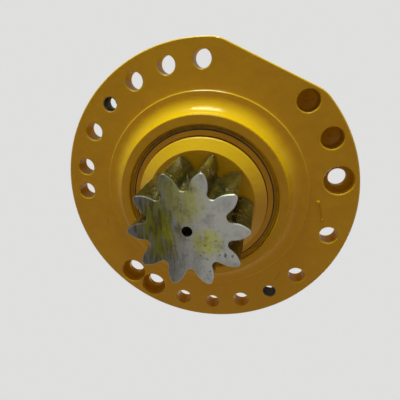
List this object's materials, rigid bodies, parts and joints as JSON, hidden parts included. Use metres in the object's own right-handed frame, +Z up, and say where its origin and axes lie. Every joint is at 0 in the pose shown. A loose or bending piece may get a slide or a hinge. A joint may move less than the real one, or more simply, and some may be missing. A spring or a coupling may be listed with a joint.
{
  "type": "swing gearbox",
  "caption": "Flanged planetary swing gearbox: painted housing with a sealed boss, a toothed output pinion below and an open motor seat with a splined input above.",
  "frame": {"origin": "centre of the mounting face, on the shaft's axis", "axes": "+Z up the shaft towards the motor, so the pinion points down -Z; +X lies along the mounting face, 61 degrees from the middle of the flange's straight edge, which faces +X and -Y"},
  "size_m": [0.45, 0.45, 0.5198],
  "materials": {
    "housing_paint": "gloss",
    "sleeve_paint": "gloss",
    "gear_steel": "satin",
    "gear_steel_inner": "satin",
    "bearing_steel": "polished",
    "cage_steel": "satin",
    "spring_steel": "satin",
    "black_steel": "satin",
    "zinc_steel": "satin",
    "carrier_iron": "cast",
    "black_rubber": "matte",
    "seal_rubber": "satin",
    "bronze": "satin",
    "copper": "satin",
    "brass": "satin"
  },
  "bodies": {
    "housing": {"lower_housing": "housing_paint", "ring_gear": "housing_paint", "top_cover": "housing_paint", "housing_bolts": "black_steel", "housing_washers": "zinc_steel", "dowel_pins": "bearing_steel", "lower_o_ring": "black_rubber", "upper_o_ring": "black_rubber", "oil_seal": "seal_rubber", "garter_spring": "bearing_steel", "lower_bearing_cup": "bearing_steel", "upper_bearing_cup": "bearing_steel", "drain_plug": "zinc_steel", "fill_plug": "zinc_steel", "plug_washers": "copper", "breather": "brass", "dipstick_tube": "zinc_steel", "dipstick_nut": "zinc_steel"},
    "output_shaft": {"pinion_shaft": "gear_steel", "seal_sleeve": "sleeve_paint", "lower_bearing_cone": "bearing_steel", "upper_bearing_cone": "bearing_steel", "bearing_spacer": "cage_steel", "lock_washer": "spring_steel", "bearing_nut": "black_steel", "shaft_end_plate": "black_steel", "end_plate_screws": "black_steel", "sun_thrust_disc": "bronze", "second_stage_carrier": "carrier_iron", "second_planet_pins": "bearing_steel", "second_pin_rings": "spring_steel", "second_thrust_washers": "bronze"},
    "lower_roller_set": {"lower_bearing_rollers": "bearing_steel", "lower_bearing_cage": "cage_steel"},
    "upper_roller_set": {"upper_bearing_rollers": "bearing_steel", "upper_bearing_cage": "cage_steel"},
    "second_planet_gear_1": {"second_planet_1": "gear_steel_inner", "second_planet_bush_1": "bronze"},
    "second_planet_gear_2": {"second_planet_2": "gear_steel_inner", "second_planet_bush_2": "bronze"},
    "second_planet_gear_3": {"second_planet_3": "gear_steel_inner", "second_planet_bush_3": "bronze"},
    "second_planet_gear_4": {"second_planet_4": "gear_steel_inner", "second_planet_bush_4": "bronze"},
    "first_carrier_set": {"first_stage_carrier": "carrier_iron", "first_planet_pins": "bearing_steel", "first_pin_rings": "spring_steel", "first_thrust_washers": "bronze", "second_stage_sun": "gear_steel_inner", "sun_retaining_ring": "spring_steel"},
    "first_planet_gear_1": {"first_planet_1": "gear_steel_inner", "first_planet_bush_1": "bronze"},
    "first_planet_gear_2": {"first_planet_2": "gear_steel_inner", "first_planet_bush_2": "bronze"},
    "first_planet_gear_3": {"first_planet_3": "gear_steel_inner", "first_planet_bush_3": "bronze"},
    "input_sun": {"first_stage_sun": "gear_steel_inner"},
    "dipstick_body": {"dipstick": "zinc_steel"}
  },
  "joints": [
    {"name": "pinion_spin", "type": "hinge", "parent": "housing", "child": "output_shaft", "pos_m": [0, 0, 0], "axis": [0, 0, 1], "continuous": true},
    {"name": "lower_cage_spin", "type": "hinge", "parent": "housing", "child": "lower_roller_set", "pos_m": [0, 0, 0], "axis": [0, 0, 1], "continuous": true},
    {"name": "upper_cage_spin", "type": "hinge", "parent": "housing", "child": "upper_roller_set", "pos_m": [0, 0, 0], "axis": [0, 0, 1], "continuous": true},
    {"name": "second_planet_1_spin", "type": "hinge", "parent": "output_shaft", "child": "second_planet_gear_1", "pos_m": [0.08, 0, 0], "axis": [0, 0, 1], "continuous": true},
    {"name": "second_planet_2_spin", "type": "hinge", "parent": "output_shaft", "child": "second_planet_gear_2", "pos_m": [0, 0.08, 0], "axis": [0, 0, 1], "continuous": true},
    {"name": "second_planet_3_spin", "type": "hinge", "parent": "output_shaft", "child": "second_planet_gear_3", "pos_m": [-0.08, 0, 0], "axis": [0, 0, 1], "continuous": true},
    {"name": "second_planet_4_spin", "type": "hinge", "parent": "output_shaft", "child": "second_planet_gear_4", "pos_m": [0, -0.08, 0], "axis": [0, 0, 1], "continuous": true},
    {"name": "first_carrier_spin", "type": "hinge", "parent": "housing", "child": "first_carrier_set", "pos_m": [0, 0, 0], "axis": [0, 0, 1], "continuous": true},
    {"name": "first_planet_1_spin", "type": "hinge", "parent": "first_carrier_set", "child": "first_planet_gear_1", "pos_m": [0.075, 0, 0], "axis": [0, 0, 1], "continuous": true},
    {"name": "first_planet_2_spin", "type": "hinge", "parent": "first_carrier_set", "child": "first_planet_gear_2", "pos_m": [-0.0375, 0.06495, 0], "axis": [0, 0, 1], "continuous": true},
    {"name": "first_planet_3_spin", "type": "hinge", "parent": "first_carrier_set", "child": "first_planet_gear_3", "pos_m": [-0.0375, -0.06495, 0], "axis": [0, 0, 1], "continuous": true},
    {"name": "sun_spin", "type": "hinge", "parent": "housing", "child": "input_sun", "pos_m": [0, 0, 0], "axis": [0, 0, 1], "continuous": true},
    {"name": "dipstick_pull", "type": "slide", "parent": "housing", "child": "dipstick_body", "axis": [0, 0, 1], "range_m": [0, 0.206]}
  ],
  "couplings": [
    {"joint": "lower_cage_spin", "follows": "pinion_spin", "ratio": 0.4376},
    {"joint": "upper_cage_spin", "follows": "pinion_spin", "ratio": 0.4387},
    {"joint": "second_planet_1_spin", "follows": "pinion_spin", "ratio": -3},
    {"joint": "second_planet_2_spin", "follows": "pinion_spin", "ratio": -3},
    {"joint": "second_planet_3_spin", "follows": "pinion_spin", "ratio": -3},
    {"joint": "second_planet_4_spin", "follows": "pinion_spin", "ratio": -3},
    {"joint": "first_carrier_spin", "follows": "pinion_spin", "ratio": 4},
    {"joint": "first_planet_1_spin", "follows": "pinion_spin", "ratio": -10.667},
    {"joint": "first_planet_2_spin", "follows": "pinion_spin", "ratio": -10.667},
    {"joint": "first_planet_3_spin", "follows": "pinion_spin", "ratio": -10.667},
    {"joint": "sun_spin", "follows": "pinion_spin", "ratio": 20}
  ]
}
